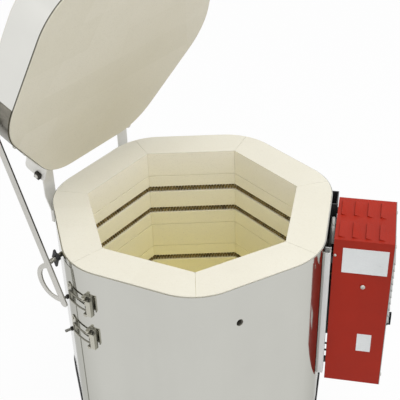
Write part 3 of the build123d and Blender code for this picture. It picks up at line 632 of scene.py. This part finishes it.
def paint_finish(name, colour, roughness, coat=0.0, peel=0.00025, gloss=0.5):
    """Paint on metal: faint orange peel, slightly uneven gloss and shade."""
    material, tree, shader = finish(name, Coat_Weight=coat, Coat_Roughness=0.12,
                                    Specular_IOR_Level=gloss)
    place = own_coordinates(tree)
    cloud = noise(tree, place, 7.0, 4.0, 0.6)
    fine = noise(tree, place, 420.0, 3.0, 0.6)
    dull = tuple(0.84 * c for c in colour)
    inputs_set(shader, {"Base Color": tones(tree, sum_of(tree, cloud, sum_of(
        tree, fine, 0.25, "MULTIPLY")), (0.45, dull), (0.78, colour)),
        "Roughness": span(tree, cloud, 0.3, 0.7, roughness - 0.05, roughness + 0.07)})
    relief(tree, shader, sum_of(tree, fine, noise(tree, place, 90.0)), peel, 0.35)
    return material


stand_paint = paint_finish("stand_paint", (0.045, 0.045, 0.047), 0.45)
dress(stand_paint, "base_pan", "stand_ring", "stand_skirt", "stand_legs")
black_rubber = paint_finish("black_moulding", (0.022, 0.022, 0.023), 0.55)
dress(black_rubber, "stand_feet")

# Hinge: two flat steel arms rise from a plate on the jacket and hold the rod that the
# lid's ears turn on. Square dark nuts close its ends. The rest is zinc plated; the arms, the
# plate, the strap and the ears are given a paler copy of that finish, painted light standing
# in for the light that falls on them.
# Plated steel, with painted shade in its crevices.
plated = sheet_finish("plated_steel", (0.680, 0.665, 0.615), 0.36, 0.14, (3.0, 3.0, 3.0),
                      metallic=0.5, painted_shade_reach=0.003)
# A paler copy of the plated steel, painted light for the light that falls on the hinge.
lit_plated = sheet_finish("lit_plated_steel", (0.930, 0.910, 0.850), 0.40, 0.14,
                           (3.0, 3.0, 3.0), metallic=0.15, painted_shade_reach=0.003)
eased("hinge_arm_left", lit_plated, "kiln", "plated_steel", 0.4 * MM)
eased("hinge_arm_right", lit_plated, "kiln", "plated_steel", 0.4 * MM)
eased("hinge_back_plate", lit_plated, "kiln", "plated_steel", 0.4 * MM)
eased("lid_hinge_strap", lit_plated, "lid", "plated_steel", 0.3 * MM)
eased("lid_hinge_ears", lit_plated, "lid", "plated_steel", 0.4 * MM)
dress(plated, "hinge_rod")
dark_steel = sheet_finish("dark_steel", (0.060, 0.056, 0.050), 0.34, 0.18, (2.0, 2.0, 2.0))
eased("hinge_nuts", dark_steel, "lid", "dark_steel", 0.6 * MM)

# Screws: cross-recessed pan heads that hold the hinge, the strap, the band and the box.
# One head is made, and the nodes set a copy at each hole, turned as the driver left it.
placed, sizes = new_tree("placed", Head="O", Material="M")
facing = node_in(placed, "GeometryNodeInputNamedAttribute", {"Name": "facing"},
                 data_type="FLOAT_VECTOR")
spin = node_in(placed, "GeometryNodeInputNamedAttribute", {"Name": "spin"}, data_type="FLOAT")
width = node_in(placed, "GeometryNodeInputNamedAttribute", {"Name": "width"}, data_type="FLOAT")
turned = node_in(placed, "FunctionNodeAlignRotationToVector", {"Vector": facing.outputs[0]},
                 axis="Z")
about = node_in(placed, "FunctionNodeAxisAngleToRotation", {"Axis": (0, 0, 1),
                                                            "Angle": spin.outputs[0]})
both = node_in(placed, "FunctionNodeRotateRotation", {0: turned.outputs[0], 1: about.outputs[0]},
               rotation_space="LOCAL")
head = node_in(placed, "GeometryNodeObjectInfo", {"Object": sizes["Head"]})
copies = node_in(placed, "GeometryNodeInstanceOnPoints",
                 {"Points": sizes["Geometry"], "Instance": head.outputs["Geometry"],
                  "Rotation": both.outputs[0], "Scale": width.outputs[0]})
end_tree(placed, copies.outputs[0], sizes["Material"])


def box_mesh(low, high):
    shape = bmesh.new()
    bmesh.ops.create_cube(shape, size=1.0)
    size = [b - a for a, b in zip(low, high)]
    middle = [(a + b) / 2 for a, b in zip(low, high)]
    shape.transform(Matrix.Translation(middle) @ Matrix.Diagonal((*size, 1)))
    mesh = bpy.data.meshes.new("box")
    shape.to_mesh(mesh)
    shape.free()
    return mesh


def cross_head():
    """Pan head of unit radius with a cross recess cut in it."""
    head = bpy.data.objects.new("head", lathe([(0, -0.05), (1, -0.05), (1, 0.12), (0.96, 0.30),
                                               (0.84, 0.46), (0.62, 0.58), (0.34, 0.64),
                                               (0, 0.66)], steps=24))
    scene.collection.objects.link(head)
    for index, size in enumerate(((0.13, 0.52), (0.52, 0.13))):
        cutter = bpy.data.objects.new("cutter", box_mesh((-size[0], -size[1], 0.36),
                                                         (size[0], size[1], 0.9)))
        scene.collection.objects.link(cutter)
        cut = head.modifiers.new(f"cut_{index}", "BOOLEAN")
        cut.operation = "DIFFERENCE"
        cut.solver = "EXACT"
        cut.object = cutter
    cutters = [m.object for m in head.modifiers]
    mesh = evaluated_mesh(head)
    for cutter in cutters:
        bpy.data.objects.remove(cutter)
    smooth(mesh, 40)
    master = bpy.data.objects.new("head_master", mesh)
    scene.collection.objects.link(master)
    return master


head_master = cross_head()


def opened(place):
    """Where something set on the shut lid is with the lid propped open."""
    return Matrix.Translation(LID_PIN) @ LID_TURN @ Matrix.Translation(-LID_PIN) @ place


def set_screws(name, places, material, body, slot, *replaced):
    """Screws at the given places; each is (place, radius), facing its own Z."""
    mesh = bpy.data.meshes.new(name)
    mesh.from_pydata([tuple(place.translation) for place, _ in places], [], [])
    for key, kind in (("facing", "FLOAT_VECTOR"), ("spin", "FLOAT"), ("width", "FLOAT")):
        mesh.attributes.new(key, kind, "POINT")
    for index, (place, radius) in enumerate(places):
        mesh.attributes["facing"].data[index].vector = place.col[2].to_3d()
        mesh.attributes["spin"].data[index].value = 2.4 * index + 0.5
        mesh.attributes["width"].data[index].value = radius
    heads = grown(mesh, placed, Head=head_master, Material=material)
    heads.shade_smooth()
    heads.set_sharp_from_angle(angle=math.radians(40))
    return piece(name, heads, material, body, slot, *replaced)


SCREW_RADIUS = 0.0036
HINGE_SCREW_DROP = 0.05925
BAND_SCREW_LEVEL = 0.3422
STRAP_SCREW_LEVEL = 0.36795
FACE_OUT = 0.1144
screw_steel = sheet_finish("screw_steel", (0.600, 0.590, 0.550), 0.24, 0.14, (2.0, 2.0, 2.0))
set_screws("hinge_screw_heads",
           [(on_side(HINGE_SIDE, along, RIM - HINGE_SCREW_DROP, out), SCREW_RADIUS)
            for along, out in ((-0.1015, 0.007), (-0.03383, 0.004), (0.03383, 0.004),
                               (0.1015, 0.007))],
           screw_steel, "kiln", "plated_steel", "hinge_screws")
BAND_SIDE = -167.142857
set_screws("lid_screw_heads",
           [(opened(on_side(BAND_SIDE, along, BAND_SCREW_LEVEL, out)), SCREW_RADIUS)
            for along, out in ((0.057, 0.0019), (0.014, 0.0010))]
           + [(opened(on_side(HINGE_SIDE, along, STRAP_SCREW_LEVEL, 0.0031)), SCREW_RADIUS)
              for along in (-0.05, 0.0, 0.05)],
           screw_steel, "lid", "plated_steel", "lid_screws")


def on_box(along, level, out):
    return on_side(BOX_SIDE, along, RIM + level, out)


def facing_front(along, level, out):
    """Place on the box that faces the front, away from its along axis."""
    return on_box(along, level, out) @ Matrix.Rotation(-math.pi / 2, 4, "Y")


set_screws("box_screw_heads",
           [(facing_front(-0.063, -0.096, 0.0678), 0.0044),
            (facing_front(-0.063, -0.034, 0.0176), 0.0026)]
           + [(on_box(along, level, FACE_OUT), SCREW_RADIUS) for along in (-0.05, 0.05)
              for level in (-0.015, -0.307)],
           screw_steel, "kiln", "plated_steel", "box_screws")

# Lid handle: a bent rod on the lid's front corner, stove painted black.
black_paint = paint_finish("black_paint", (0.030, 0.030, 0.031), 0.38, 0.2)
dress(black_paint, "lid_handle")

# Prop: a flat plated bar on the lid with a D-shaped loop cut and bent at its lower end. It
# turns on a shouldered screw, and a bolt in the jacket with a black wing knob guides it.
# With painted shade in its crevices.
worn_steel = sheet_finish("worn_steel", (0.260, 0.250, 0.205), 0.26, 0.14, (3.0, 3.0, 3.0),
                          metallic=0.9, painted_shade_reach=0.006)
prop = eased("prop_bar", plated, "prop", "plated_steel", 0.4 * MM)
# The bar's inner edge faces: sheared steel, darker than the plated faces, and darker still towards
# the bar's upper end, a painted reflection of dark things beside it.
sheared_edge_and_reflection, tree, shader = finish("sheared_edge_and_reflection", Roughness=0.5, Metallic=0.6)
place = own_coordinates(tree)
height = node_in(tree, "ShaderNodeSeparateXYZ", {0: place}).outputs[2]
dark_reflection_share = sum_of(tree, span(tree, height, 0.27, 0.37, 0.0, 1.0),
              span(tree, noise(tree, place, 60.0), 0.3, 0.7, -0.12, 0.12))
inputs_set(shader, {"Base Color": tones(tree, dark_reflection_share, (0.1, (0.420, 0.405, 0.360)),
                                        (0.9, (0.035, 0.033, 0.027)))})
relief(tree, shader, noise(tree, place, 700.0), 0.0002, 0.5)
prop.data.materials.append(sheared_edge_and_reflection)
PROP_LEAN = math.radians(19.7957)
GUIDE_DROP = 0.0173
GUIDE_BACK = 0.13287
edge_normal = polar(-math.cos(PROP_LEAN), HINGE_SIDE, math.sin(PROP_LEAN))
for face in prop.data.polygons:
    if face.normal.dot(edge_normal) > 0.75:
        face.material_index = 1
dress(plated, "prop_screw")
dress(worn_steel, "guide_bolt")


def thread(name, start, end, radius, body="kiln"):
    """Rolled thread on a bolt: a fine bright ridge wound along it."""
    ridge = grown(line_mesh([start, end]), winding, Radius=radius, Wire=0.4 * MM,
                  Pitch=1.4 * MM, Hand=1.0, Steps=16, Sides=4, Material=screw_steel)
    return piece(name, ridge, screw_steel, body, "plated_steel")


thread("guide_bolt_thread", *(on_side(HINGE_SIDE, along, RIM - GUIDE_DROP, -GUIDE_BACK).translation
                              for along in (0.2393, 0.2529)), 3.85 * MM)
knob_black = paint_finish("moulded_black", (0.020, 0.020, 0.021), 0.42, 0.1, 0.0002)
eased("guide_knob", knob_black, "guide_knob", "black_plastic", 1.1 * MM, 3)

# Draw latches: each has a pressed base, a lever and a wire bail that hooks over the lip of
# an oval keeper across the lap. Rivets hold them, and a long screw sets their pull.
FRONT_LEFT = -141.428571
CORNER_CENTRE = 0.145732
CORNER_ROUND = 0.106
KEEPER_ANGLE = -150.5
LATCH_DROP = 0.072
LAP_FACE = 0.0019
PULL_SCREW = (-0.01265, -0.0175)


def on_corner(corner, normal, height, out):
    """Place on a rounded corner: X along it anticlockwise, Y up, Z out from the bricks."""
    origin = polar(CORNER_CENTRE, corner) + polar(CORNER_ROUND + out, normal, height)
    return Matrix.Translation(origin) @ Matrix((polar(1, normal + 90), Vector((0, 0, 1)),
                                                polar(1, normal))).transposed().to_4x4()


# With painted shade in its crevices.
latch_steel = sheet_finish("latch_steel", (0.560, 0.545, 0.465), 0.24, 0.16, (3.0, 3.0, 3.0),
                           metallic=0.9, painted_shade_reach=0.006)
for number in (1, 2):
    eased(f"latch_base_{number}", latch_steel, "kiln", "plated_steel", 0.3 * MM)
    eased(f"latch_lever_{number}", latch_steel, f"latch_lever_{number}", "plated_steel",
          0.3 * MM)
    eased(f"latch_keeper_{number}", latch_steel, "kiln", "plated_steel", 0.4 * MM, 3)
    dress(worn_steel, f"latch_bail_{number}")
    seat = on_corner(FRONT_LEFT, KEEPER_ANGLE, RIM - LATCH_DROP * number, LAP_FACE)
    thread(f"latch_screw_thread_{number}", *(seat @ Vector((*PULL_SCREW, out))
                                             for out in (0.0050, 0.0148)), 2.4 * MM)
dress(dark_steel, "latch_adjusters")

# Control box: folded steel shell in red enamel, with pressed louvres in its top, closed by
# a silver outer plate that has louvres too. A gland takes the supply cord below.
red_enamel = paint_finish("red_enamel", (0.400, 0.021, 0.007), 0.46, gloss=0.18)
eased("control_box", red_enamel, "kiln", "red_paint", 0.5 * MM, 2, 25)
# With painted shade in its crevices.
face_metal = sheet_finish("face_metal", (0.430, 0.430, 0.415), 0.26, 0.16, (1.0, 1.0, 20.0),
                          painted_shade_reach=0.006)
eased("box_face_plate", face_metal, "kiln", "face_metal", 0.3 * MM, 2, 25)
dress(face_metal, "box_back_plate")
dress(knob_black, "cord_gland", "switch_body")
switch_black = paint_finish("switch_black", (0.012, 0.012, 0.013), 0.50, peel=0.0001, gloss=0.08)
eased("switch_knob", switch_black, "switch_knob", "knob_black", 0.8 * MM, 3)
brass, tree, shader = finish("terminal_brass", Metallic=1.0)
place = own_coordinates(tree)
inputs_set(shader, {"Base Color": tones(tree, noise(tree, place, 120.0),
                                        (0.35, (0.42, 0.31, 0.13)), (0.7, (0.62, 0.49, 0.24))),
                    "Roughness": span(tree, noise(tree, place, 60.0), 0.3, 0.7, 0.3, 0.5)})
relief(tree, shader, noise(tree, place, 500.0), 0.0002)
eased("terminals", brass, "kiln", "terminal_metal", 0.5 * MM)

# Plates on the box front: a white enamelled plate and a smaller pale label, both bare.
white_plate = paint_finish("white_plate", (0.840, 0.860, 0.850), 0.30, 0.2, 0.0001)
eased("name_plate", white_plate, "kiln", "white_plate", 0.25 * MM)
dress(white_plate, "rating_sticker")

# Stand-offs: a pale channel in front and a black one behind hold the box off the jacket on
# four spacers, and sleeved wires run up between them. The rear one's black is painted
# shade for the gap behind the box.
pale_paint = paint_finish("pale_paint", (0.860, 0.860, 0.845), 0.42)
eased("standoff_front", pale_paint, "kiln", "pale_paint", 0.4 * MM)
# Painted shade: the rear channel is made black for the shaded gap behind the box.
eased("standoff_rear", black_paint, "kiln", "black_paint", 0.4 * MM)
dress(knob_black, "standoff_spacers")
sleeve_core = paint_finish("sleeve_core", (0.720, 0.710, 0.680), 0.7)
silver_braid = sheet_finish("silver_braid", (0.950, 0.940, 0.900), 0.40, 0.2, (2.0, 2.0, 2.0),
                            metallic=0.05)
dark_braid = sheet_finish("dark_braid", (0.200, 0.195, 0.170), 0.42, 0.2, (2.0, 2.0, 2.0),
                          metallic=0.2)
STRANDS = 5
SLEEVE_SPACING = 0.0085
for number, (shift, coat) in enumerate(((0.0, silver_braid), (SLEEVE_SPACING, dark_braid)),
                                       start=1):
    route = rounded([on_box(*stop).translation for stop in (
        (0.030 - shift, -0.080, 0.0044), (0.031 - shift, -0.042, 0.0062),
        (0.026 - shift, -0.020 - shift / 3, 0.0082), (0.008 - shift, -0.020 - shift, 0.0096),
        (0.002 - shift, -0.052, 0.0108))], 6.0 * MM)
    for hand in (1.0, -1.0):
        braid = joined(*(grown(line_mesh(route), winding, Radius=2.55 * MM + 0.1 * MM * hand,
                               Wire=0.5 * MM, Pitch=13.0 * MM, Phase=turn / STRANDS, Hand=hand,
                               Steps=16, Sides=5, Material=coat) for turn in range(STRANDS)))
        piece(f"wire_{number}_braid_{'left' if hand < 0 else 'right'}", braid, coat, "kiln",
              "wire_sleeve")
dress(sleeve_core, "sleeved_wires")

bpy.data.objects.remove(head_master)
bpy.context.view_layer.update()
